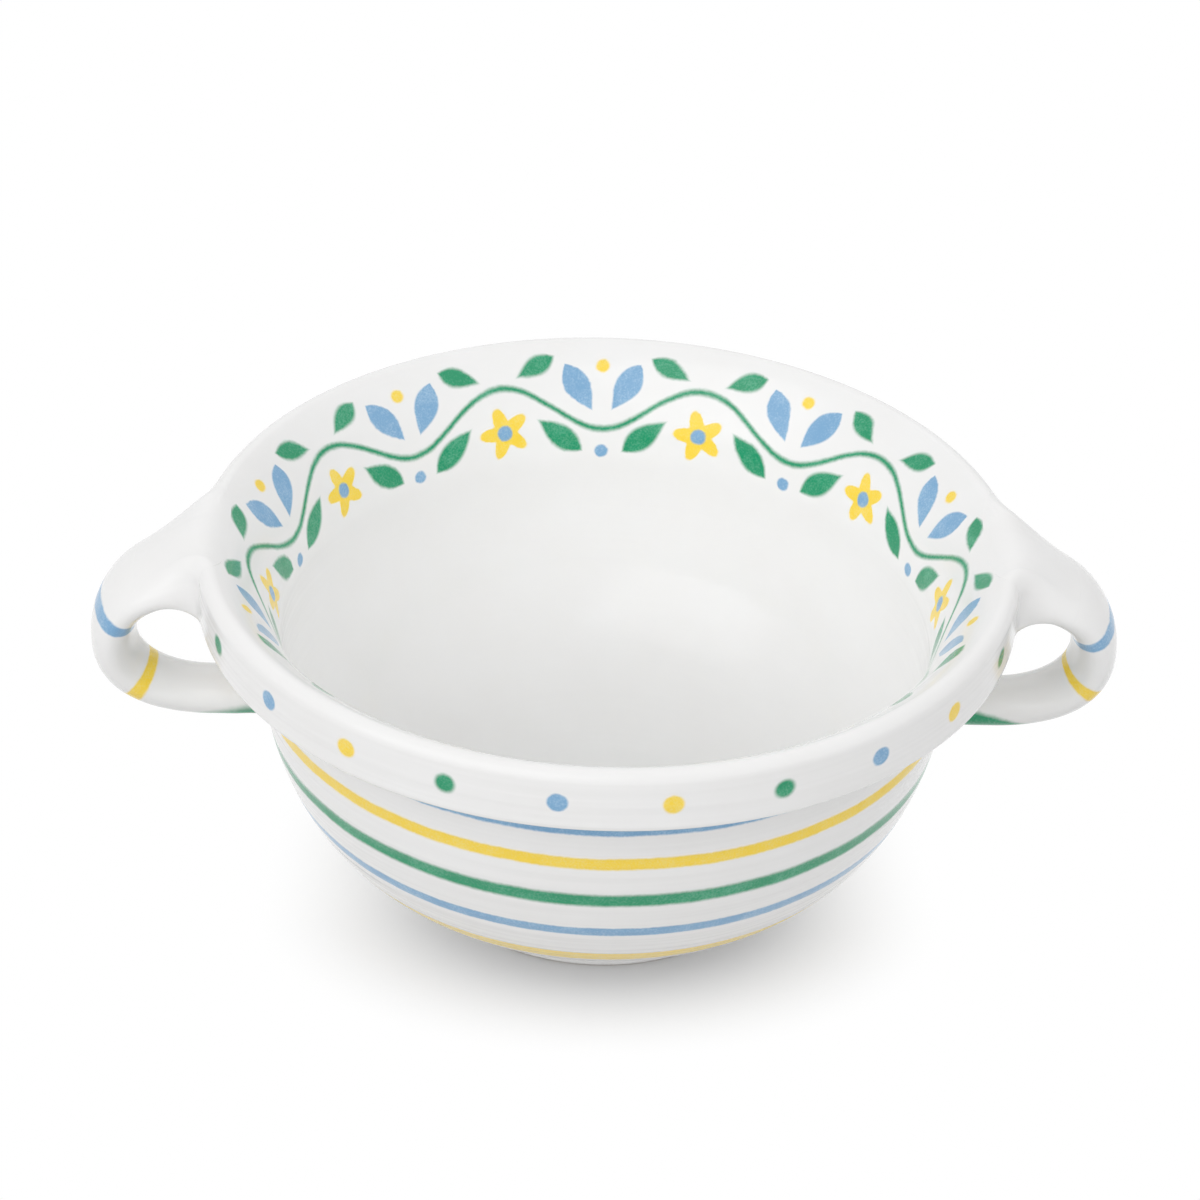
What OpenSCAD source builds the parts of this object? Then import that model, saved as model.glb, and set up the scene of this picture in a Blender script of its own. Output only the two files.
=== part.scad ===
// Lug soup bowl: a thrown earthenware bowl with a heavy turned-over rim,
// a foot ring, and two ear handles that are stuck on with slip.
// Millimetres, +Z up. The origin is the middle of the foot ring, on the table,
// and the handles stand on the X axis, one on each side.

/* [Bowl body] */
// Outer diameter over the rim collar
rim_d = 140; // [112:0.5:168]
// Height from the table to the top of the lip
bowl_h = 68; // [56:0.5:84]
// Fullness of the outer curve: 2 is an ellipse, more is squarer
body_curve = 2.76; // [2.3:0.02:3.4]
// Height of the outer curve's lowest point above the table
body_rise = 1; // [0.5:0.1:2.5]
// Thickness of the side wall where the inside begins to flare
wall_t = 4; // [3:0.1:7]
// Thickness of the floor at its middle
floor_t = 5.2; // [3:0.1:9]
// Fullness of the inside curve
inside_curve = 2.6; // [2.1:0.02:3]

/* [Rim] */
// How far the collar stands out from the widest part of the body
rim_overhang = 10; // [8:0.1:13]
// Height of the collar's outer band, with the lip
collar_h = 11; // [7:0.1:13]
// Radius of the lip's rounded top
lip_r = 2; // [1:0.1:3]
// Slope of the inside where it runs up into the lip, in degrees
lip_slope = 30; // [20:1:45]
// Radius on the collar's lower edge
collar_edge_r = 1.2; // [0.5:0.1:2.5]
// Radius of the hollow under the overhanging collar
cove_r = 7.4; // [3:0.1:8.5]
// Height over which the inside flares out to the lip
flare_h = 20; // [14:0.5:30]

/* [Foot ring] */
// Outer diameter of the foot ring
foot_d = 63; // [46:0.5:80]
// Width of the foot ring's standing face, with its rounded edges
foot_w = 4.5; // [3:0.1:8]
// Depth of the hollow under the floor, inside the foot ring
foot_hollow = 3.2; // [1.5:0.1:5]
// Radius on the foot ring's standing edges
foot_edge_r = 0.8; // [0.3:0.1:1.4]

/* [Handles] */
// How far each handle stands out from the collar
handle_reach = 18.5; // [15:0.1:24]
// Depth of the upper arm's middle below the lip, at the collar
upper_drop = 7; // [5.5:0.1:9]
// Downward slope of the upper arm at the collar, in degrees
upper_slope = 5; // [0:1:20]
// Height between the middles of the upper and the lower arm
arm_gap = 25.5; // [22:0.1:34]
// Depth of the handle's outermost point below the upper arm's middle
bend_drop = 13.8; // [9:0.1:18]
// Length of straight lower arm that stands off the widest part of the body
lower_straight = 8; // [3:0.5:12]
// Length of the guide that draws the upper arm out from the collar
upper_guide = 8.8; // [4:0.1:12]
// Length of the guide above the outermost point
shoulder_guide = 8.3; // [4:0.1:11]
// Length of the guide below the outermost point
heel_guide = 7.2; // [4:0.1:9]
// Length of the guide that draws the lower arm in to the body
lower_guide = 10.2; // [5:0.1:13]
// Width of the upper arm
upper_w = 21.7; // [14:0.1:28]
// Width of the lower arm
lower_w = 10.9; // [7:0.1:18]
// Thickness of the upper arm
upper_t = 8.4; // [6:0.1:10]
// Thickness of the handle at its outermost point
bend_t = 7.7; // [5:0.1:10]
// Thickness of the lower arm
lower_t = 7.6; // [5:0.1:10]

/* [Slip joints] */
// Length that the slip runs out along the upper arm
upper_slip_l = 6; // [3:0.1:9]
// Spread of the slip along the collar, on each side of the upper arm
upper_slip_w = 4; // [1.5:0.1:6]
// Spread of the slip above and below the upper arm
upper_slip_t = 1.4; // [0.6:0.1:1.8]
// Length that the slip runs out along the lower arm
lower_slip_l = 4; // [2:0.1:6]
// Spread of the slip round the lower arm, on the body
lower_slip_w = 1.8; // [1:0.1:4]
// Thickness of the slip where it thins out on the handle
slip_edge = 0.25; // [0.1:0.05:0.5]

/* [Hidden] */

// Steps along the profile's curves, round the bowl, and along and round a handle
BODY_STEPS = 20;
ARC_STEPS = 6;
FLARE_STEPS = 12;
ROUND_STEPS = 180;
ARM_STEPS = 14;
SLIP_STEPS = 7;
SECTION_SIDES = 28;
// Share of the way to the corner at which a curve's guides stand, for a round turn
ROUNDNESS = 0.5523;

glaze_white = [0.95, 0.95, 0.93];
slip_white = [0.90, 0.88, 0.84];

rim_r = rim_d / 2;
body_r = rim_r - rim_overhang;
foot_r = foot_d / 2;
collar_z = bowl_h - collar_h;
crest_r = rim_r - lip_r;
body_depth = collar_z - body_rise;

// Radius of the outer wall at a height below the collar
function wall_r(z) =
    body_r * pow(1 - pow((collar_z - z) / body_depth, body_curve), 1 / body_curve);

// A point on a full curve of given fullness, from its rim (0) to its bottom (90)
function full_curve(r, depth, top, fullness, turn) =
    [r * pow(cos(turn), 2 / fullness), top - depth * pow(sin(turn), 2 / fullness)];

function arc(centre, r, from, to) =
    [for (i = [0:ARC_STEPS]) let (a = from + (to - from) * i / ARC_STEPS)
        centre + r * [cos(a), sin(a)]];

// A cubic curve through four guide points, and the way it runs
function bezier(p, t) =
    pow(1 - t, 3) * p[0] + 3 * pow(1 - t, 2) * t * p[1]
    + 3 * (1 - t) * t * t * p[2] + pow(t, 3) * p[3];
function bezier_way(p, t) =
    pow(1 - t, 2) * (p[1] - p[0]) + 2 * (1 - t) * t * (p[2] - p[1]) + t * t * (p[3] - p[2]);
function smooth(t) = t * t * (3 - 2 * t);
function blend(a, b, t) = a + (b - a) * t;

function but_first(list) = [for (i = [1:len(list) - 1]) list[i]];

// Outside of the bowl, from the foot ring's standing face up to the crest of the lip
cove = min(cove_r, rim_overhang - collar_edge_r);
cove_z = collar_z - cove;
foot_turn = acos(pow(foot_r / body_r, body_curve / 2));
cove_turn = asin(pow(cove / body_depth, body_curve / 2));
outer_profile = concat(
    arc([foot_r - foot_edge_r, foot_edge_r], foot_edge_r, -90, 0),
    [for (i = [0:BODY_STEPS])
        full_curve(body_r, body_depth, collar_z, body_curve,
            foot_turn + (cove_turn - foot_turn) * i / BODY_STEPS)],
    but_first(arc([wall_r(cove_z) + cove, cove_z], cove, 180, 90)),
    arc([rim_r - collar_edge_r, collar_z + collar_edge_r], collar_edge_r, -90, 0),
    arc([crest_r, bowl_h - lip_r], lip_r, 0, 90)
);

// Inside of the bowl, from the crest of the lip down to the middle of the floor
flare_z = bowl_h - flare_h;
inner_r = wall_r(flare_z) - wall_t;
floor_z = foot_hollow + floor_t;
lip_arc = arc([crest_r, bowl_h - lip_r], lip_r, 90, 90 + lip_slope);
flare_top = lip_arc[ARC_STEPS];
flare_corner = [inner_r, flare_top[1] - (flare_top[0] - inner_r) * tan(lip_slope)];
flare_curve = [
    flare_top,
    blend(flare_top, flare_corner, ROUNDNESS),
    blend([inner_r, flare_z], flare_corner, ROUNDNESS),
    [inner_r, flare_z],
];
inner_profile = concat(
    but_first(lip_arc),
    [for (i = [1:FLARE_STEPS]) bezier(flare_curve, i / FLARE_STEPS)],
    [for (i = [1:BODY_STEPS])
        full_curve(inner_r, flare_z - floor_z, flare_z, inside_curve, 90 * i / BODY_STEPS)]
);

// Hollow under the floor, from the middle out to the foot ring's standing face
foot_in_r = foot_r - foot_w;
under_profile = concat(
    [[0, foot_hollow], [foot_in_r, foot_hollow]],
    arc([foot_in_r + foot_edge_r, foot_edge_r], foot_edge_r, 180, 270)
);

// The bowl as if it were solid clay, which the handles and the slip are cut to fit
blank_top = bowl_h + collar_h;
blank_profile = concat(outer_profile, [[crest_r, blank_top], [0, blank_top], [0, 0]]);

// Middle line of a handle in the X-Z plane: a straight root inside the collar,
// a curve out to the bend, a curve back under it, and a straight end in the wall
upper_way = [cos(upper_slope), -sin(upper_slope)];
lower_way = [-1, 0];
upper_root = [rim_r, bowl_h - upper_drop];
bend = [rim_r + handle_reach - bend_t / 2, upper_root[1] - bend_drop];
lower_z = upper_root[1] - arm_gap;
lower_root = [body_r + lower_straight, lower_z];
upper_curve = [
    upper_root,
    upper_root + upper_guide * upper_way,
    bend + [0, shoulder_guide],
    bend,
];
lower_curve = [
    bend,
    bend - [0, heel_guide],
    lower_root - lower_guide * lower_way,
    lower_root,
];

// One station of a handle: its middle, the way it runs, and its half width and half
// thickness, at a share of the way from the collar (0) over the bend (0.5) to the body (1)
function section(middle, way, share) = [
    middle,
    way / norm(way),
    blend(upper_w, lower_w, smooth(share)) / 2,
    (share < 0.5 ? blend(upper_t, bend_t, 2 * share) : blend(bend_t, lower_t, 2 * share - 1)) / 2,
];
function upper_at(t) = section(bezier(upper_curve, t), bezier_way(upper_curve, t), t / 2);
function lower_at(t) = section(bezier(lower_curve, t), bezier_way(lower_curve, t), (1 + t) / 2);
function upper_inside(depth) = section(upper_root - depth * upper_way, upper_way, 0);
function lower_inside(depth) = section(lower_root + depth * lower_way, lower_way, 1);

// The arms are drawn this deep into the blank before they are cut to its surface
upper_bury = rim_r - wall_r(cove_z) + wall_t;
lower_bury = lower_straight + body_r - wall_r(lower_z) + wall_t;

handle_stations = concat(
    [upper_inside(upper_bury), upper_inside(upper_bury / 2)],
    [for (i = [0:ARM_STEPS]) upper_at(i / ARM_STEPS)],
    [for (i = [1:ARM_STEPS]) lower_at(i / ARM_STEPS)],
    [lower_inside(lower_bury / 2), lower_inside(lower_bury)]
);

// Slip swells out towards the bowl from a thin edge on the handle
function swell(s, wide, thick) =
    [s[0], s[1], s[2] + slip_edge + wide, s[3] + slip_edge + thick];

// Where the slip ends on the upper curve, and how its spread grows from there to the
// collar, and on until its sides meet the collar, which curves back from the arm
upper_slip_share = upper_slip_l / (3 * upper_guide);
upper_slip_reach = upper_w / 2 + slip_edge + upper_slip_w;
upper_slip_sag = rim_r - sqrt(pow(rim_r, 2) - pow(upper_slip_reach, 2));
function upper_slip_at(q) =
    swell(upper_at(upper_slip_share * (1 - q)), upper_slip_w * q * q, upper_slip_t * q * q);
function upper_slip_inside(depth) =
    let (q = 1 + min(depth, upper_slip_sag) / upper_slip_l)
        swell(upper_inside(depth), upper_slip_w * q * q, upper_slip_t);
upper_slip_stations = concat(
    [upper_slip_inside(upper_bury)],
    [for (i = [SLIP_STEPS:-1:0]) upper_slip_inside(upper_slip_sag * i / SLIP_STEPS)],
    [for (i = [1:SLIP_STEPS]) upper_slip_at(1 - i / SLIP_STEPS)]
);

// The slip round the lower arm, from its thin edge to inside the wall
lower_wall_depth = lower_bury - wall_t;
function lower_slip_inside(depth) =
    let (q = min(1, 1 + (depth - lower_wall_depth) / lower_slip_l))
        swell(lower_inside(depth), lower_slip_w * q * q, lower_slip_w * q * q);
lower_slip_stations = concat(
    [for (i = [0:SLIP_STEPS])
        lower_slip_inside(lower_wall_depth - lower_slip_l * (1 - i / SLIP_STEPS))],
    [lower_slip_inside(lower_bury)]
);

// Oval rings at the stations, skinned into one closed solid on the +X side
function ring(s) =
    [for (i = [0:SECTION_SIDES - 1])
        let (a = 360 * i / SECTION_SIDES, across = s[2] * cos(a), up = s[3] * sin(a))
        [s[0][0] - s[1][1] * up, across, s[0][1] + s[1][0] * up]];

module skin(stations) {
    last = len(stations) - 1;
    n = SECTION_SIDES;
    polyhedron(
        points = [for (s = stations) each ring(s)],
        faces = concat(
            [[for (i = [0:n - 1]) i]],
            [for (k = [0:last - 1], i = [0:n - 1])
                let (j = (i + 1) % n)
                each [
                    [k * n + i, (k + 1) * n + i, (k + 1) * n + j],
                    [k * n + i, (k + 1) * n + j, k * n + j],
                ]],
            [[for (i = [n - 1:-1:0]) last * n + i]]
        ),
        convexity = 6
    );
}

module bowl_blank() {
    rotate_extrude($fn = ROUND_STEPS) polygon(blank_profile);
}

module handle() {
    color(glaze_white) difference() {
        skin(handle_stations);
        bowl_blank();
    }
}

module slip_joint(stations) {
    color(slip_white) difference() {
        skin(stations);
        skin(handle_stations);
        bowl_blank();
    }
}

module bowl_body() {
    color(glaze_white) rotate_extrude($fn = ROUND_STEPS)
        polygon(concat(outer_profile, inner_profile, under_profile));
}

module right_handle() {
    handle();
}

module left_handle() {
    mirror([1, 0, 0]) handle();
}

module right_upper_slip_joint() {
    slip_joint(upper_slip_stations);
}

module right_lower_slip_joint() {
    slip_joint(lower_slip_stations);
}

module left_upper_slip_joint() {
    mirror([1, 0, 0]) slip_joint(upper_slip_stations);
}

module left_lower_slip_joint() {
    mirror([1, 0, 0]) slip_joint(lower_slip_stations);
}

bowl_body();
left_handle();
right_handle();
left_upper_slip_joint();
left_lower_slip_joint();
right_upper_slip_joint();
right_lower_slip_joint();
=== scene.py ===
import math

import bmesh
import bpy
from mathutils import Matrix, Vector


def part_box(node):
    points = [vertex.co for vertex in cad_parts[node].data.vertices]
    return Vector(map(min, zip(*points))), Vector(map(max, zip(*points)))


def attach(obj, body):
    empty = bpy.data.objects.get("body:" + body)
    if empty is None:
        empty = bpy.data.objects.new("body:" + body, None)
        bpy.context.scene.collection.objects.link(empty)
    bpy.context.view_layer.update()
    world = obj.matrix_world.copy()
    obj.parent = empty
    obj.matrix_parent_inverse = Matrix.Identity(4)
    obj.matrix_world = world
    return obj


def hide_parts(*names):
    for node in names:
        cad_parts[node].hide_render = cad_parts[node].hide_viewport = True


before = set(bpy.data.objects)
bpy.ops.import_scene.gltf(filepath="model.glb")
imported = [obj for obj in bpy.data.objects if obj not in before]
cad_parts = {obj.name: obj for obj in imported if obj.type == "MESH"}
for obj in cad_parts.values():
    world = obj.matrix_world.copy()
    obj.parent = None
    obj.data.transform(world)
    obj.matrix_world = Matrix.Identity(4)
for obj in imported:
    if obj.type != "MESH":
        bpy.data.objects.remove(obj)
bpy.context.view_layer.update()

# Bowl body
# Thrown on the wheel from one lump of earthenware: the rim is rolled over into a heavy collar,
# and the foot ring is turned once the clay is leather hard. White tin glaze covers all of it but
# the foot's standing face, and the bands are painted into the raw glaze as the bowl turns.
MM = 0.001
body_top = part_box("bowl_body")[1]
RIM_RADIUS = body_top.x
BOWL_HEIGHT = body_top.z
RIM_OVERHANG = 10 * MM
COLLAR_HEIGHT = 11 * MM
COLLAR_EDGE = 1.2 * MM
COVE_RADIUS = 7.4 * MM
LIP_RADIUS = 2 * MM
LIP_SLOPE = 30
FLARE_HEIGHT = 20 * MM
WALL = 4 * MM
BODY_FULLNESS = 2.76
BODY_RISE = 1 * MM
INSIDE_FULLNESS = 2.6
FLOOR_LEVEL = 8.4 * MM
FOOT_RADIUS = 31.5 * MM
FOOT_WIDTH = 4.5 * MM
FOOT_HOLLOW = 3.2 * MM
FOOT_EDGE = 0.8 * MM
# The share of the way to a corner at which a cubic's guides round it like a circle
ROUND_TURN = 0.5523
# Points along each stretch of the profile, and steps of its turn
FLOOR_STEPS = 12
FOOT_EDGE_STEPS = 6
WALL_STEPS = 48
COVE_STEPS = 16
COLLAR_EDGE_STEPS = 8
FACE_STEPS = 6
LIP_STEPS = 10
FLARE_STEPS = 36
INSIDE_STEPS = 56
BODY_SPIN_STEPS = 256
MERGE_DISTANCE = 0.001 * MM
# Where a handle joins it, the lip is pressed down under the slip: how deep, how far along the
# profile on each side of the crest, and how far round the rim on each side of the handle
PRESS_DEPTH = 1.3 * MM
PRESS_RUN = 4 * MM
PRESS_SIDE = 11.5 * MM

body_radius = RIM_RADIUS - RIM_OVERHANG
collar_low = BOWL_HEIGHT - COLLAR_HEIGHT
body_depth = collar_low - BODY_RISE
cove_low = collar_low - COVE_RADIUS
flare_low = BOWL_HEIGHT - FLARE_HEIGHT
crest_radius = RIM_RADIUS - LIP_RADIUS
foot_inside = FOOT_RADIUS - FOOT_WIDTH


def wall_radius(height):
    """Radius of the outer wall at a height below the collar."""
    drop = (collar_low - height) / body_depth
    return body_radius * (1 - drop ** BODY_FULLNESS) ** (1 / BODY_FULLNESS)


def profile_point(radius, height):
    """A point of a profile, in the X-Z plane."""
    return Vector((radius, 0, height))


def arc(centre, radius, start, end, steps):
    """Points round a centre in the X-Z plane, from one angle to another, in degrees."""
    angles = [math.radians(start + (end - start) * i / steps) for i in range(steps + 1)]
    return [centre + profile_point(radius * math.cos(a), radius * math.sin(a)) for a in angles]


def full_curve(radius, depth, top, fullness, start, end, steps):
    """Points on a curve fuller than an ellipse, where a turn of 0 is its rim and 90 its bottom."""
    turns = [math.radians(start + (end - start) * i / steps) for i in range(steps + 1)]
    power = 2 / fullness
    return [
        profile_point(radius * max(0, math.cos(a)) ** power, top - depth * math.sin(a) ** power)
        for a in turns
    ]


def cubic(guides, t):
    """A point on the cubic curve of four guide points."""
    a, b, c, d = guides
    s = 1 - t
    return s ** 3 * a + 3 * s * s * t * b + 3 * s * t * t * c + t ** 3 * d


def smooth_share(share):
    """A share held between 0 and 1, with a smooth start and end."""
    share = min(max(share, 0), 1)
    return share * share * (3 - 2 * share)


def run_lengths(points):
    """Length along a line of points, from its first point to each one."""
    runs = [0.0]
    for here, there in zip(points, points[1:]):
        runs.append(runs[-1] + (there - here).length)
    return runs


def flare_line():
    """The inside from the lip down to the upright wall: one curve that turns from lip to wall."""
    lip = arc(lip_centre, LIP_RADIUS, 90, 90 + LIP_SLOPE, LIP_STEPS)
    inner_radius = wall_radius(flare_low) - WALL
    top = lip[-1]
    low = profile_point(inner_radius, flare_low)
    drop = (top.x - inner_radius) * math.tan(math.radians(LIP_SLOPE))
    corner = profile_point(inner_radius, top.z - drop)
    guides = (top, top.lerp(corner, ROUND_TURN), low.lerp(corner, ROUND_TURN), low)
    return lip[1:] + [cubic(guides, i / FLARE_STEPS) for i in range(1, FLARE_STEPS + 1)]


foot_turn = math.degrees(math.acos((FOOT_RADIUS / body_radius) ** (BODY_FULLNESS / 2)))
cove_turn = math.degrees(math.asin((COVE_RADIUS / body_depth) ** (BODY_FULLNESS / 2)))
foot_inner_centre = profile_point(foot_inside + FOOT_EDGE, FOOT_EDGE)
foot_outer_centre = profile_point(FOOT_RADIUS - FOOT_EDGE, FOOT_EDGE)
cove_centre = profile_point(wall_radius(cove_low) + COVE_RADIUS, cove_low)
collar_centre = profile_point(RIM_RADIUS - COLLAR_EDGE, collar_low + COLLAR_EDGE)
lip_centre = profile_point(crest_radius, BOWL_HEIGHT - LIP_RADIUS)
under_line = [
    profile_point(foot_inside * i / FLOOR_STEPS, FOOT_HOLLOW) for i in range(FLOOR_STEPS + 1)
]
under_line += arc(foot_inner_centre, FOOT_EDGE, 180, 270, FOOT_EDGE_STEPS)
under_line += arc(foot_outer_centre, FOOT_EDGE, -90, 0, FOOT_EDGE_STEPS)
wall_line = full_curve(
    body_radius, body_depth, collar_low, BODY_FULLNESS, foot_turn, cove_turn, WALL_STEPS
)
rim_line = arc(cove_centre, COVE_RADIUS, 180, 90, COVE_STEPS)[1:]
rim_line += arc(collar_centre, COLLAR_EDGE, -90, 0, COLLAR_EDGE_STEPS)
for i in range(1, FACE_STEPS):
    face_level = collar_centre.lerp(lip_centre, i / FACE_STEPS).z
    rim_line.append(profile_point(RIM_RADIUS, face_level))
rim_line += arc(lip_centre, LIP_RADIUS, 0, 90, LIP_STEPS)
inside_line = flare_line()
inside_line += full_curve(
    inside_line[-1].x, flare_low - FLOOR_LEVEL, flare_low, INSIDE_FULLNESS, 0, 90, INSIDE_STEPS
)[1:]
profile = under_line + wall_line + rim_line + inside_line
profile_runs = run_lengths(profile)
outside_points = wall_line + rim_line
outside_runs = profile_runs[len(under_line):len(under_line) + len(outside_points)]
crest_run = outside_runs[-1]


def outside_run(height):
    """Where the outer wall or the collar has a height, as a length along the profile."""
    pairs = list(zip(outside_points, outside_runs))
    for (low, low_run), (high, high_run) in zip(pairs, pairs[1:]):
        if low.z <= height <= high.z and high.z > low.z:
            return low_run + (high_run - low_run) * (height - low.z) / (high.z - low.z)
    return crest_run


def smooth_piece(name, bm, sharp_angle=40):
    """Makes a finished mesh into an object of the scene, shaded smooth but for its sharp edges."""
    mesh = bpy.data.meshes.new(name)
    bm.to_mesh(mesh)
    bm.free()
    mesh.shade_smooth()
    mesh.set_sharp_from_angle(angle=math.radians(sharp_angle))
    piece = bpy.data.objects.new(name, mesh)
    bpy.context.scene.collection.objects.link(piece)
    return piece


bm = bmesh.new()
run_layer = bm.verts.layers.float.new("run")
profile_verts = [bm.verts.new(point) for point in profile]
for vert, run in zip(profile_verts, profile_runs):
    vert[run_layer] = run
profile_edges = [bm.edges.new(pair) for pair in zip(profile_verts, profile_verts[1:])]
bmesh.ops.spin(
    bm, geom=profile_verts + profile_edges, cent=(0, 0, 0), axis=(0, 0, 1),
    angle=math.tau, steps=BODY_SPIN_STEPS, use_merge=True,
)
bmesh.ops.remove_doubles(bm, verts=bm.verts, dist=MERGE_DISTANCE)
for vert in bm.verts:
    near_crest = smooth_share(1 - abs(vert[run_layer] - crest_run) / PRESS_RUN)
    near_handle = smooth_share(1 - abs(vert.co.y) / PRESS_SIDE)
    vert.co.z -= PRESS_DEPTH * near_crest * near_handle
bmesh.ops.recalc_face_normals(bm, faces=bm.faces)
bowl = smooth_piece("glazed_bowl_body", bm)


class Shade:
    """One value of a material's nodes. Python's operators on it add Math nodes."""

    def __init__(self, tree, socket=None):
        self.tree = tree
        self.socket = socket

    def add(self, kind, settings, inputs, output=0):
        """Adds a node: its settings first, then the values or links of its sockets."""
        node = self.tree.nodes.new(kind)
        for name, value in settings.items():
            setattr(node, name, value)
        for name, value in inputs.items():
            if isinstance(value, Shade):
                self.tree.links.new(value.socket, node.inputs[name])
            else:
                node.inputs[name].default_value = value
        return Shade(self.tree, node.outputs[output]) if node.outputs else None

    def maths(self, operation, *values):
        return self.add("ShaderNodeMath", {"operation": operation}, dict(enumerate(values)))

    def __add__(self, other):
        return self.maths("ADD", self, other)

    def __radd__(self, other):
        return self.maths("ADD", other, self)

    def __sub__(self, other):
        return self.maths("SUBTRACT", self, other)

    def __rsub__(self, other):
        return self.maths("SUBTRACT", other, self)

    def __mul__(self, other):
        return self.maths("MULTIPLY", self, other)

    def __rmul__(self, other):
        return self.maths("MULTIPLY", other, self)

    def __abs__(self):
        return self.maths("ABSOLUTE", self)

    def either(self, other):
        return self.maths("MAXIMUM", self, other)

    def step(self, start, end):
        """0 before start and 1 past end, with a smooth rise between them."""
        return self.add(
            "ShaderNodeMapRange", {"interpolation_type": "SMOOTHSTEP"},
            {"Value": self, "From Min": start, "From Max": end},
        )

    def place(self):
        return self.add("ShaderNodeTexCoord", {}, {}, "Object")

    def split(self):
        """The three numbers of a vector."""
        return [self.add("ShaderNodeSeparateXYZ", {}, {"Vector": self}, axis) for axis in "XYZ"]

    def attribute(self, name):
        return self.add("ShaderNodeAttribute", {"attribute_name": name}, {}, "Fac")

    def noise(self, vector, size, detail=2.0):
        """Noise from about 0 to 1 with patches of a size in metres."""
        inputs = {"Vector": vector, "Scale": 1 / size, "Detail": detail}
        return self.add("ShaderNodeTexNoise", {}, inputs, "Fac")

    def mix(self, share, first, second):
        """A colour between two, at a share of the way."""
        node_inputs = {0: share, 6: first, 7: second}
        return self.add("ShaderNodeMix", {"data_type": "RGBA"}, node_inputs, 2)


def srgb(red, green, blue):
    """A colour as it shows on a screen, from 0 to 255, in the linear form that shaders take."""
    shares = [value / 255 for value in (red, green, blue)]
    linear = [s / 12.92 if s <= 0.04045 else ((s + 0.055) / 1.055) ** 2.4 for s in shares]
    return (*linear, 1.0)


GLAZE_WHITE = srgb(247, 247, 247)
GLAZE_THIN = srgb(243, 242, 241)
BARE_CLAY = srgb(214, 190, 160)
PAINTS = {
    "blue": (srgb(124, 172, 212), srgb(156, 196, 226)),
    "yellow": (srgb(255, 219, 66), srgb(255, 226, 100)),
    "green": (srgb(8, 149, 102), srgb(58, 170, 128)),
}
PAINT_SOFT = {"blue": 0.25 * MM, "yellow": 0.3 * MM, "green": 0.5 * MM}
# What varies in the glaze: clouds in the white, streaks and grain in the paint, and the fine
# waves of a fired surface
CLOUD_SIZE = 14 * MM
STREAK_SIZE = 4 * MM
GRAIN_SIZE = 0.35 * MM
WAVE_SIZE = 1.6 * MM
CLOUD_DETAIL = 3.0
# How much streaks and grain thin the paint, where it is at its thinnest and at its thickest, and
# how well thin paint covers
STREAK_SHARE = 0.35
GRAIN_SHARE = 0.4
PAINT_THIN = 0.18
PAINT_THICK = 0.46
PAINT_COVER = 0.93
# How rough the glaze is, and how much rougher in its clouds and where the clay is bare
GLAZE_ROUGH = 0.12
CLOUD_ROUGH = 0.05
CLAY_ROUGH = 0.6
# How far clouds and waves stand out, and how strong and how deep all relief is
CLOUD_RELIEF = 0.3
WAVE_RELIEF = 0.12
RELIEF_STRENGTH = 0.25
RELIEF_DEPTH = 0.2 * MM
GLAZE_IOR = 1.5


def start_glaze(name):
    """An empty material, and the first value that its nodes grow from."""
    material = bpy.data.materials.new(name)
    material.use_nodes = True
    material.node_tree.nodes.clear()
    return material, Shade(material.node_tree)


def finish_glaze(shade, coats, relief=None, bare=None):
    """White tin glaze with painted coats sunk into it: (paint, mask) pairs, the lowest first.
    Relief is the height of the clay's own marks, and bare the share of unglazed clay that shows."""
    place = shade.place()
    cloud = shade.noise(place, CLOUD_SIZE, CLOUD_DETAIL)
    grain = shade.noise(place, GRAIN_SIZE)
    streak = shade.noise(place, STREAK_SIZE, CLOUD_DETAIL)
    depth = (STREAK_SHARE * streak + GRAIN_SHARE * grain).step(PAINT_THIN, PAINT_THICK)
    cover = PAINT_COVER + (1 - PAINT_COVER) * depth
    colour = shade.mix(cloud, GLAZE_THIN, GLAZE_WHITE)
    for paint, mask in coats:
        strong, pale = PAINTS[paint]
        colour = shade.mix(mask * cover, colour, shade.mix(depth, pale, strong))
    roughness = GLAZE_ROUGH + CLOUD_ROUGH * cloud
    if bare:
        colour = shade.mix(bare, colour, BARE_CLAY)
        roughness += CLAY_ROUGH * bare
    height = CLOUD_RELIEF * cloud + WAVE_RELIEF * shade.noise(place, WAVE_SIZE)
    if relief:
        height += relief
    bump = shade.add(
        "ShaderNodeBump", {},
        {"Height": height, "Strength": RELIEF_STRENGTH, "Distance": RELIEF_DEPTH},
    )
    surface = shade.add(
        "ShaderNodeBsdfPrincipled", {},
        {"Base Color": colour, "Roughness": roughness, "Normal": bump, "IOR": GLAZE_IOR},
    )
    shade.add("ShaderNodeOutputMaterial", {}, {"Surface": surface})


# The painted bands, as their height, their width on the wall and their paint
BANDS = (
    (50.3 * MM, 2.4 * MM, "blue"),
    (43.2 * MM, 2.4 * MM, "yellow"),
    (34.8 * MM, 2.8 * MM, "green"),
    (26.3 * MM, 2.4 * MM, "blue"),
    (16.2 * MM, 5.0 * MM, "yellow"),
)
# A garland goes round the flare inside: a waving stem with leaves, flowers and buds
GARLAND_REPEATS = 10
STEM_DEPTH = 13 * MM
STEM_SWING = 4.2 * MM
STEM_WIDTH = 1.1 * MM
FLOWER_DEPTH = 17 * MM
FLOWER_RADIUS = 4.8 * MM
FLOWER_EYE = 1.4 * MM
PETALS = 5
PETAL_DEPTH = 0.24
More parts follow.
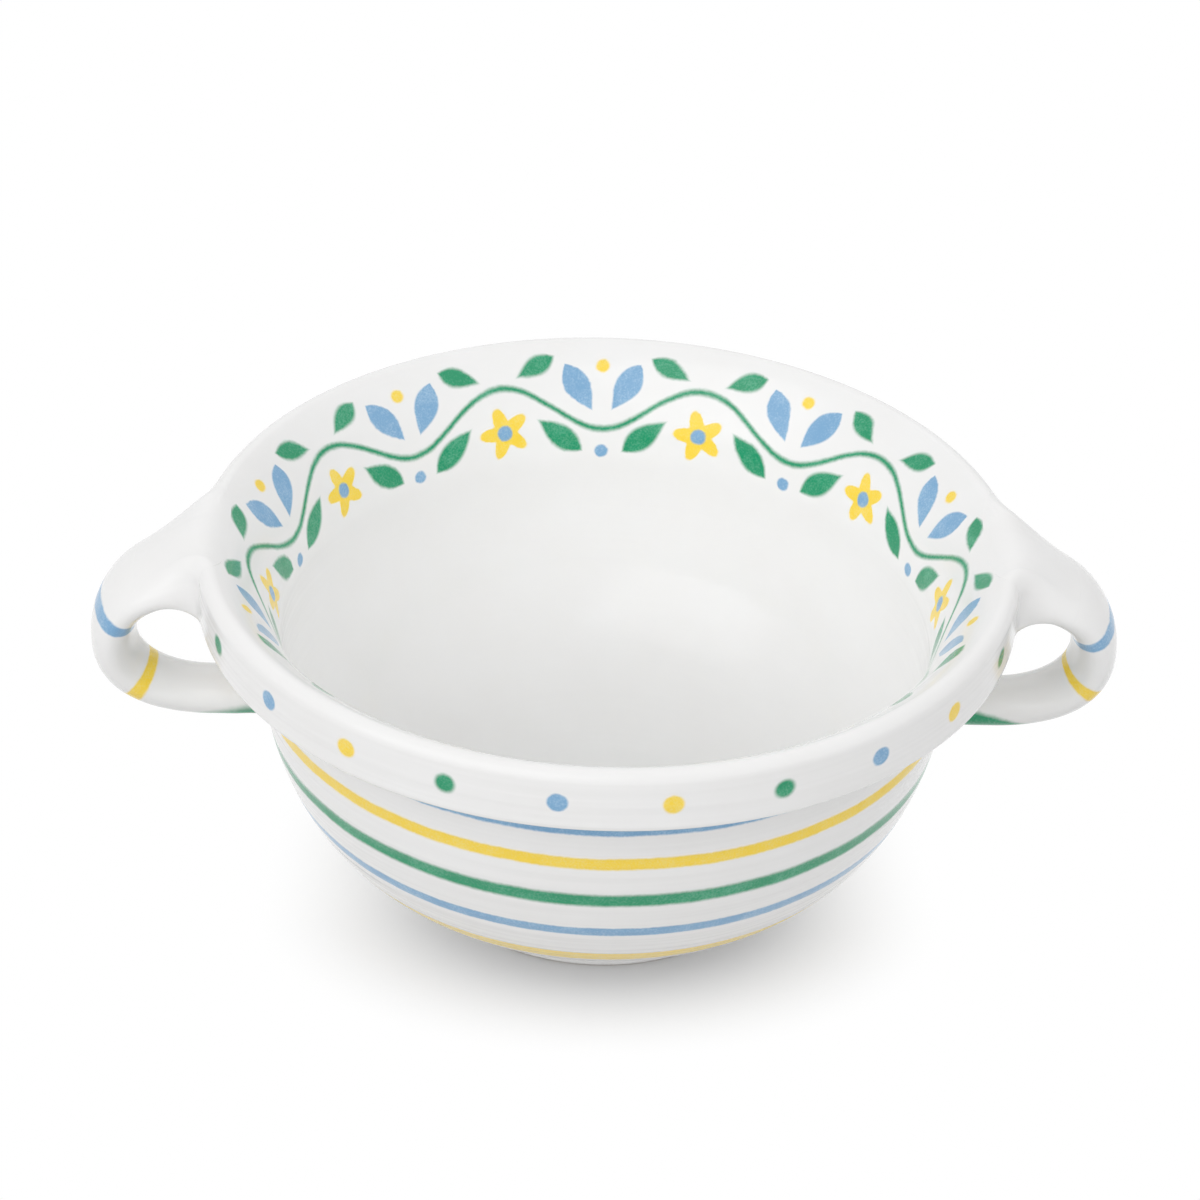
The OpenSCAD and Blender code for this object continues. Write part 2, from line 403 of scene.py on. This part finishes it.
# Its leaves, as their middle beside the flower and below the crest, their slant in degrees, their
# length and their width. The bud's leaves, and both dabs, are placed beside the bud instead
LOW_LEAF = ((10.2 * MM, 18.4 * MM), 40, 9.5 * MM, 4.2 * MM)
HIGH_LEAF = ((7.4 * MM, 5.4 * MM), -25, 8 * MM, 3.4 * MM)
BUD_LEAF = ((4.4 * MM, 9.4 * MM), -58, 10 * MM, 4.4 * MM)
LOW_DAB = (0, 21.4 * MM)
HIGH_DAB = (0, 5.6 * MM)
DAB_RADIUS = 1.2 * MM
# How far past its foot a leaf's outline is followed, in half lengths, and how it swells to its tip
LEAF_END = 1.5
LEAF_SWELL = 0.15
# Dots stand in a row round the collar
DOT_REPEATS = 24
DOT_RADIUS = 1.7 * MM
# How the brush strays: the size of its slow wander, how far that takes a band, a motif to its
# side and a motif up or down, and the fray that its hairs leave
WANDER_SIZE = 9 * MM
BAND_WANDER = 0.5 * MM
SIDE_WANDER = 1.2 * MM
DEPTH_WANDER = 0.8 * MM
FRAY_SIZE = 0.8 * MM
FRAY_DEPTH = 0.3 * MM
# The height on the foot where the glaze was wiped off, and how far its edge fades
GLAZE_LINE = 0.15 * MM
GLAZE_FADE = 0.1 * MM
# Faint rings that the thrower's fingers leave, smoothed inside with a rib, how far from the
# crest the rib starts, and how far the rings drift in a turn
RING_SPACING = 3.5 * MM
RING_OUTSIDE = 9.0
RING_INSIDE = 2.5
RIB_START = 3 * MM
RING_DRIFT = 0.03


def painted(distance, paint):
    """1 where a distance to a painted edge is negative, 0 where it is positive."""
    soft = PAINT_SOFT[paint]
    return distance.step(soft, -soft)


def brush_strays(shade, place, size):
    """A brush's slow wander, from -0.5 to 0.5, and the fray of its edge as a length."""
    wander = shade.noise(place, size) - 0.5
    fray = FRAY_DEPTH * (shade.noise(place, FRAY_SIZE) - 0.5)
    return wander, fray


def repeat(turn, count):
    """Shares a turn round the bowl into cells: the place in a cell, from -0.5 to 0.5."""
    return turn.maths("FRACT", turn * count + 0.5) - 0.5


def dab(side, depth, at, radius):
    """Distance to the edge of a round dab."""
    x = side - at[0]
    y = depth - at[1]
    return x.maths("SQRT", x * x + y * y) - radius


def leaf(side, depth, at, slant, length, width):
    """Distance to the edge of a leaf: one stroke of a loaded brush, fuller towards its tip."""
    cosine = math.cos(math.radians(slant))
    sine = math.sin(math.radians(slant))
    x = side - at[0]
    y = depth - at[1]
    lengthways = ((x * cosine + y * sine) * (2 / length)).either(-LEAF_END)
    crossways = abs(y * cosine - x * sine)
    fullness = width * (0.5 + LEAF_SWELL * lengthways)
    return crossways - (1 - lengthways * lengthways) * fullness


body_glaze, shade = start_glaze("painted_body_glaze")
place = shade.place()
across, deep, up = place.split()
run = shade.attribute("run")
wander, fray = brush_strays(shade, place, WANDER_SIZE)
waver = BAND_WANDER * wander + fray
strokes = [
    (paint, abs(run - outside_run(height) + waver) - width / 2) for height, width, paint in BANDS
]

radius = shade.maths("SQRT", across * across + deep * deep)
turn = shade.maths("ARCTAN2", deep, across) * (1 / math.tau)
cell = repeat(turn, GARLAND_REPEATS)
cell_width = radius * (math.tau / GARLAND_REPEATS)
side = cell * cell_width + SIDE_WANDER * wander + fray
depth = run - crest_run + DEPTH_WANDER * wander + fray
stem_line = STEM_DEPTH - STEM_SWING * shade.maths("COSINE", cell * math.tau)
stem = abs(depth - stem_line) - STEM_WIDTH / 2
mirrored = abs(side)
from_edge = 0.5 * cell_width - mirrored
flower = dab(side, depth, (0, FLOWER_DEPTH), 0)
petal_turn = shade.maths("ARCTAN2", depth - FLOWER_DEPTH, side)
petal_wave = shade.maths("COSINE", petal_turn * PETALS)
petals = FLOWER_RADIUS * (1 - PETAL_DEPTH + PETAL_DEPTH * petal_wave)
strokes += [
    ("green", stem),
    ("green", leaf(mirrored, depth, *LOW_LEAF)),
    ("green", leaf(mirrored, depth, *HIGH_LEAF)),
    ("blue", leaf(from_edge, depth, *BUD_LEAF)),
    ("blue", dab(from_edge, depth, LOW_DAB, DAB_RADIUS)),
    ("yellow", dab(from_edge, depth, HIGH_DAB, DAB_RADIUS)),
    ("yellow", flower - petals),
    ("blue", flower - FLOWER_EYE),
]
coats = [(paint, painted(distance, paint)) for paint, distance in strokes]

dot_middle = outside_run((collar_low + BOWL_HEIGHT) / 2)
dot_turn = turn + 0.5 / DOT_REPEATS
dot_side = repeat(dot_turn, DOT_REPEATS) * radius * (math.tau / DOT_REPEATS)
dot_number = shade.maths("FLOOR", dot_turn * DOT_REPEATS + 0.5)
dot_kind = shade.maths("FLOORED_MODULO", dot_number, len(PAINTS))
dot = dab(dot_side + BAND_WANDER * wander, run + waver, (0, dot_middle), DOT_RADIUS)
for number, paint in enumerate(PAINTS):
    chosen = shade.maths("COMPARE", dot_kind, number, 0.5)
    coats.append((paint, painted(dot, paint) * chosen))
around = shade.add(
    "ShaderNodeCombineXYZ", {}, {"X": run, "Y": RING_DRIFT * across, "Z": RING_DRIFT * deep}
)
outside = run.step(crest_run + RIB_START, crest_run - RIB_START)
ring_relief = RING_INSIDE + (RING_OUTSIDE - RING_INSIDE) * outside
throwing_rings = ring_relief * (shade.noise(around, RING_SPACING) - 0.5)
bare_clay = up.step(GLAZE_LINE + GLAZE_FADE, GLAZE_LINE - GLAZE_FADE)
finish_glaze(shade, coats, throwing_rings, bare_clay)
bowl.data.materials.append(body_glaze)
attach(bowl, "root")
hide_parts("bowl_body")

# Handles
# Two ear handles, each pulled by hand from a tongue of the same clay: wide and flat where it
# leaves the rim, narrow and round where it comes back to the wall. Rings of paint go round it.
UPPER_DROP = 7 * MM
UPPER_SLOPE = math.radians(5)
ARM_GAP = 25.5 * MM
BEND_DROP = 13.8 * MM
LOWER_STRAIGHT = 8 * MM
UPPER_GUIDE = 8.8 * MM
SHOULDER_GUIDE = 8.3 * MM
HEEL_GUIDE = 7.2 * MM
LOWER_GUIDE = 10.2 * MM
UPPER_WIDTH = 21.7 * MM
LOWER_WIDTH = 10.9 * MM
UPPER_THICK = 8.4 * MM
BEND_THICK = 7.7 * MM
LOWER_THICK = 7.6 * MM
HANDLE_SIDES = 64
HANDLE_STEPS = 120
# How far a handle goes on, as a share of its length, into the collar and into the wall,
# and how far it draws in there under the slip
UPPER_BURY = 0.10
LOWER_BURY = 0.17
TUCK = 0.4 * MM
TUCK_SHARE = 0.03
# Where on a handle its slip ends, and how far the handle's line goes for each share of it past
# its ends, in guide lengths
UPPER_JOINT = 0.19
LOWER_JOINT = 1.06
END_SPEED = 6

handle_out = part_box("right_handle")[1].x
upper_way = profile_point(math.cos(UPPER_SLOPE), -math.sin(UPPER_SLOPE))
lower_way = profile_point(-1, 0)
upper_root = profile_point(RIM_RADIUS, BOWL_HEIGHT - UPPER_DROP)
bend = profile_point(handle_out - BEND_THICK / 2, upper_root.z - BEND_DROP)
lower_root = profile_point(body_radius + LOWER_STRAIGHT, upper_root.z - ARM_GAP)
upper_guides = (
    upper_root, upper_root + UPPER_GUIDE * upper_way, bend + profile_point(0, SHOULDER_GUIDE), bend
)
lower_guides = (
    bend, bend - profile_point(0, HEEL_GUIDE), lower_root - LOWER_GUIDE * lower_way, lower_root
)


def handle_middle(share):
    """A handle's middle line: 0 at the collar, 0.5 at the bend and 1 at the lower arm's end."""
    if share < 0:
        return upper_root + END_SPEED * UPPER_GUIDE * share * upper_way
    if share > 1:
        return lower_root + END_SPEED * LOWER_GUIDE * (share - 1) * lower_way
    return cubic(upper_guides, 2 * share) if share < 0.5 else cubic(lower_guides, 2 * share - 1)


def handle_station(share, tuck=0.0):
    """The matrix that lays a unit circle round a handle as its oval section."""
    nudge = 0.001
    way = (handle_middle(share + nudge) - handle_middle(share - nudge)).normalized()
    half_wide = 0.5 * (UPPER_WIDTH + (LOWER_WIDTH - UPPER_WIDTH) * smooth_share(share))
    held = min(max(share, 0), 1)
    if held < 0.5:
        half_thick = 0.5 * (UPPER_THICK + (BEND_THICK - UPPER_THICK) * 2 * held)
    else:
        half_thick = 0.5 * (BEND_THICK + (LOWER_THICK - BEND_THICK) * (2 * held - 1))
    wide = Vector((0, half_wide - tuck, 0))
    thick = profile_point(-way.z, way.x) * (half_thick - tuck)
    matrix = Matrix((wide, thick, way)).transposed().to_4x4()
    matrix.translation = handle_middle(share)
    return matrix


def tucked_station(share):
    """A handle's section, drawn in where slip covers it."""
    under = smooth_share((UPPER_JOINT - share) / TUCK_SHARE)
    under += smooth_share((share - LOWER_JOINT) / TUCK_SHARE)
    return handle_station(share, TUCK * under)


handle_shares = [
    -UPPER_BURY + (1 + UPPER_BURY + LOWER_BURY) * i / HANDLE_STEPS for i in range(HANDLE_STEPS + 1)
]
handle_runs = run_lengths([handle_middle(share) for share in handle_shares])
collar_run = run_lengths([handle_middle(-UPPER_BURY), handle_middle(0)])[-1]


def pulled_handle(name, hand):
    """Draws an oval ring out along the handle's middle line. Hand is 1 on the right, -1 on the left."""
    bm = bmesh.new()
    run_layer = bm.verts.layers.float.new("run")
    stations = [tucked_station(share) for share in handle_shares]
    bmesh.ops.create_circle(
        bm, cap_ends=True, segments=HANDLE_SIDES, radius=1, matrix=stations[0]
    )
    ring = list(bm.edges)
    for before, after, run in zip(stations, stations[1:], handle_runs[1:]):
        grown = bmesh.ops.extrude_edge_only(bm, edges=ring)["geom"]
        verts = [part for part in grown if isinstance(part, bmesh.types.BMVert)]
        moved = set(verts)
        ring = [
            part for part in grown
            if isinstance(part, bmesh.types.BMEdge) and moved.issuperset(part.verts)
        ]
        bmesh.ops.transform(bm, matrix=after @ before.inverted(), verts=verts)
        for vert in verts:
            vert[run_layer] = run - collar_run
    bmesh.ops.edgeloop_fill(bm, edges=ring)
    bmesh.ops.scale(bm, vec=(hand, 1, 1), verts=bm.verts)
    bmesh.ops.recalc_face_normals(bm, faces=bm.faces)
    return smooth_piece(name, bm)


# Rings of paint, as their run from the collar and their width, and the green swipe along the
# underside of the lower arm, as its reach from the bowl's axis at a level, how fast that
# shrinks upwards and how far its edge fades
BLUE_RING = (16.5 * MM, 2.3 * MM)
YELLOW_RING = {"left": (32.4 * MM, 2.6 * MM), "right": (28.0 * MM, 2.2 * MM)}
SWIPE_LEVEL = 32.7 * MM
SWIPE = {"left": (71.8 * MM, 4.6, 1.2 * MM), "right": (77.0 * MM, 3.2, 0.6 * MM)}
HANDLE_WANDER_SIZE = 6 * MM
HANDLE_WANDER = 0.9 * MM


def handle_waver(shade, place):
    """How far the brush strays on a handle, where it is held less steady than on the wheel."""
    wander, fray = brush_strays(shade, place, HANDLE_WANDER_SIZE)
    return HANDLE_WANDER * wander + fray


def green_swipe(place, hand, waver):
    """1 on the green swipe along a lower arm, 0 off it."""
    across, _, up = place.split()
    reach, slant, soft = SWIPE[hand]
    edge = abs(across) + (up - SWIPE_LEVEL) * slant - reach
    return (edge * (1 / math.hypot(1, slant)) + waver).step(soft, -soft)


HANDS = {"left": -1, "right": 1}
for hand, sign in HANDS.items():
    handle = pulled_handle(hand + "_pulled_handle", sign)
    handle_glaze, shade = start_glaze(hand + "_handle_glaze")
    place = shade.place()
    waver = handle_waver(shade, place)
    run = shade.attribute("run") + waver
    coats = [("green", green_swipe(place, hand, waver))]
    for paint, (middle, width) in (("blue", BLUE_RING), ("yellow", YELLOW_RING[hand])):
        coats.append((paint, painted(abs(run - middle) - width / 2, paint)))
    finish_glaze(shade, coats)
    handle.data.materials.append(handle_glaze)
    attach(handle, "root")
    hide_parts(hand + "_handle")

# Slip joints
# Slip, which is clay let down with water, sticks each end of a handle to the bowl. It is wiped
# round the root with a wet finger, so that handle and bowl run into each other under one glaze.
JOINT_SIDES = 96
JOINT_STEPS = 18
# How far slip reaches on the bowl: across to the back and to the front, up and down, and the
# power that squares its upper corners, where it goes over the lip
UPPER_SPREAD = {"back": 19 * MM, "front": 14.5 * MM, "up": 12 * MM, "down": 13 * MM, "power": 0.75}
LOWER_SPREAD = {"back": 8.5 * MM, "front": 8.5 * MM, "up": 6.8 * MM, "down": 6.8 * MM, "power": 1}
# How hard a joint's lines are drawn along the handle and along the bowl, as shares of their length
HANDLE_DRAW = 0.45
BOWL_DRAW = 0.42
SLIP_PROUD = 0.02 * MM
SLIP_SUNK = 0.3 * MM


def skin_point(run, turn):
    """A point on the bowl's skin, by its run along the profile and its angle."""
    pairs = list(zip(profile, profile_runs))
    for (here, here_run), (there, there_run) in zip(pairs, pairs[1:]):
        if here_run <= run <= there_run and there_run > here_run:
            point = here.lerp(there, (run - here_run) / (there_run - here_run))
            return Matrix.Rotation(turn, 3, "Z") @ point


def skin_outward(run, turn):
    """The way that the bowl's skin faces there."""
    span = 0.2 * MM
    along = skin_point(run + span, 0) - skin_point(run - span, 0)
    return Matrix.Rotation(turn, 3, "Z") @ profile_point(along.z, -along.x).normalized()


def joint_line(share, way, angle, spread, root_run, up_sign):
    """One line of a joint, from the handle's skin at a share to the skin of the bowl."""
    nudge = 0.002
    circle = Vector((math.cos(angle), math.sin(angle), 0))
    start = handle_station(share) @ circle
    start_way = (handle_station(share + nudge * way) @ circle - start).normalized()
    upwards = circle.y * up_sign
    reach = spread["back"] if circle.x > 0 else -spread["front"]
    rise = spread["up"] if upwards > 0 else -spread["down"]
    power = spread["power"] if upwards > 0 else 1
    turn = reach * abs(circle.x) ** power / RIM_RADIUS
    run = root_run + rise * abs(upwards) ** power
    end = skin_point(run, turn)
    inward = skin_point(run + (root_run - run) * nudge, turn * (1 - nudge))
    end_way = (inward - end).normalized()
    outward = skin_outward(run, turn)
    gap = (end - start).length
    end += outward * SLIP_PROUD
    guides = (start, start + start_way * gap * HANDLE_DRAW, end + end_way * gap * BOWL_DRAW, end)
    line = [cubic(guides, i / JOINT_STEPS) for i in range(JOINT_STEPS + 1)]
    return line + [end - outward * SLIP_SUNK]


def wiped_joint(name, hand, share, way, spread, root_run, up_sign):
    """Bridges the rings of a joint from the handle to the bowl."""
    angles = [math.tau * i / JOINT_SIDES for i in range(JOINT_SIDES)]
    lines = [joint_line(share, way, angle, spread, root_run, up_sign) for angle in angles]
    bm = bmesh.new()
    rings = []
    for points in zip(*lines):
        verts = [bm.verts.new(point) for point in points]
        rings.append([bm.edges.new(pair) for pair in zip(verts, verts[1:] + verts[:1])])
    for ring, following in zip(rings, rings[1:]):
        bmesh.ops.bridge_loops(bm, edges=ring + following)
    bmesh.ops.scale(bm, vec=(hand, 1, 1), verts=bm.verts)
    bmesh.ops.recalc_face_normals(bm, faces=bm.faces)
    return smooth_piece(name, bm)


upper_run = outside_run(upper_root.z)
lower_run = outside_run(lower_root.z)
joints = {
    "upper": (UPPER_JOINT, -1, UPPER_SPREAD, upper_run, 1),
    "lower": (LOWER_JOINT, 1, LOWER_SPREAD, lower_run, -1),
}
for hand, sign in HANDS.items():
    for level, settings in joints.items():
        joint = wiped_joint(f"{hand}_{level}_wiped_slip", sign, *settings)
        slip_glaze, shade = start_glaze(f"{hand}_{level}_slip_glaze")
        coats = []
        if level == "lower":
            place = shade.place()
            coats.append(("green", green_swipe(place, hand, handle_waver(shade, place))))
        finish_glaze(shade, coats)
        joint.data.materials.append(slip_glaze)
        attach(joint, "root")
        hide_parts(f"{hand}_{level}_slip_joint")

# Stage
# A plain white table top and plain studio light: a large soft panel in front, up to the left,
# a weaker one up to the right, and a white room.
FLOOR_SIZE = 6.0
TABLE_PALE = (0.68, 0.68, 0.68, 1.0)
PLAIN_WHITE = (1.0, 1.0, 1.0, 1.0)
# The table keeps the bowl's shadow within the first distance from a place in front of the bowl's
# axis, and from the second one on it is plain white to the eye. To the front and to the back these
# distances count for more or less
SHADOW_MIDDLE = -17.5 * MM
SHADOW_ENDS = 15 * MM
PLAIN_STARTS = 61 * MM
FRONT_STRETCH = 1.56
BACK_STRETCH = 0.6


def seen_share(shade):
    """1 for what the eye meets, straight, mirrored or through glass, and 0 for scattered light."""
    kinds = ("Is Camera Ray", "Is Glossy Ray", "Is Transmission Ray")
    seen, mirrored, through = [shade.add("ShaderNodeLightPath", {}, {}, kind) for kind in kinds]
    return seen.either(mirrored).either(through)


bm = bmesh.new()
bmesh.ops.create_grid(bm, x_segments=1, y_segments=1, size=FLOOR_SIZE / 2)
table = smooth_piece("table_top", bm)
table_white, shade = start_glaze("table_white")
across, deep, _ = shade.place().split()
behind = deep - SHADOW_MIDDLE
stretched = (BACK_STRETCH * behind).either(-FRONT_STRETCH * behind)
distance = shade.maths("SQRT", across * across + stretched * stretched)
far_out = distance.step(SHADOW_ENDS, PLAIN_STARTS)
shaded = shade.add("ShaderNodeBsdfDiffuse", {}, {"Color": TABLE_PALE})
plain = shade.add("ShaderNodeEmission", {}, {"Color": PLAIN_WHITE, "Strength": 1.0})
table_surface = shade.add(
    "ShaderNodeMixShader", {}, {0: far_out * seen_share(shade), 1: shaded, 2: plain}
)
shade.add("ShaderNodeOutputMaterial", {}, {"Surface": table_surface})
table.data.materials.append(table_white)


PANEL_AIM = Vector((0, 0, 0.05))


def soft_panel(name, place, size, watts):
    """A square soft light that faces the bowl."""
    lamp = bpy.data.lights.new(name, "AREA")
    lamp.shape = "SQUARE"
    lamp.size = size
    lamp.energy = watts
    panel = bpy.data.objects.new(name, lamp)
    panel.location = place
    panel.rotation_euler = (PANEL_AIM - Vector(place)).to_track_quat("-Z", "Y").to_euler()
    bpy.context.scene.collection.objects.link(panel)


soft_panel("key_panel", place=(-0.85, -1.05, 1.25), size=1.9, watts=8.5)
soft_panel("fill_panel", place=(0.9, -0.1, 1.3), size=1.6, watts=1.8)

# The room's walls are lit and its ceiling is dark, so that light falls into the bowl from all
# sides: most of it from the end walls, in front and behind, and a little more of it from the
# front than from behind, and from the left than from the right. To the eye it is plain white
WALL_FOOT = (0.08, 0.42)
WALL_TOP = (1.0, 0.75)
END_WALLS = 1.39
SIDE_WALLS = 0.955
MORE_FRONT = 0.19
MORE_LEFT = 0.115
world = bpy.data.worlds.new("white_room")
bpy.context.scene.world = world
world.use_nodes = True
world.node_tree.nodes.clear()
shade = Shade(world.node_tree)
across, deep, up = shade.add("ShaderNodeTexCoord", {}, {}, "Generated").split()
walls = up.step(*WALL_FOOT) * up.step(*WALL_TOP)
ends = END_WALLS * abs(deep) - MORE_FRONT * deep
sides = SIDE_WALLS * abs(across) - MORE_LEFT * across
light = walls * (ends + sides)
brightness = light + (1 - light) * seen_share(shade)
room = shade.add("ShaderNodeBackground", {}, {"Color": PLAIN_WHITE, "Strength": brightness})
shade.add("ShaderNodeOutputWorld", {}, {"Surface": room})
bpy.context.scene.view_settings.view_transform = "Standard"

# Camera
# A long lens from the front, a third of the way up, held a little askew.
CAMERA_PLACE = Vector((-0.02106, -0.57442, 0.43081))
CAMERA_AIM = Vector((-0.00116, 0, 0.05506))
CAMERA_ROLL = math.radians(2.04)
LENS = 120
SENSOR = 36
lens = bpy.data.cameras.new("camera")
lens.lens = LENS
lens.sensor_width = SENSOR
camera = bpy.data.objects.new("camera", lens)
camera.location = CAMERA_PLACE
look = (CAMERA_AIM - CAMERA_PLACE).to_track_quat("-Z", "Y").to_matrix()
camera.rotation_euler = (look @ Matrix.Rotation(CAMERA_ROLL, 3, "Z")).to_euler()
bpy.context.scene.collection.objects.link(camera)
bpy.context.scene.camera = camera
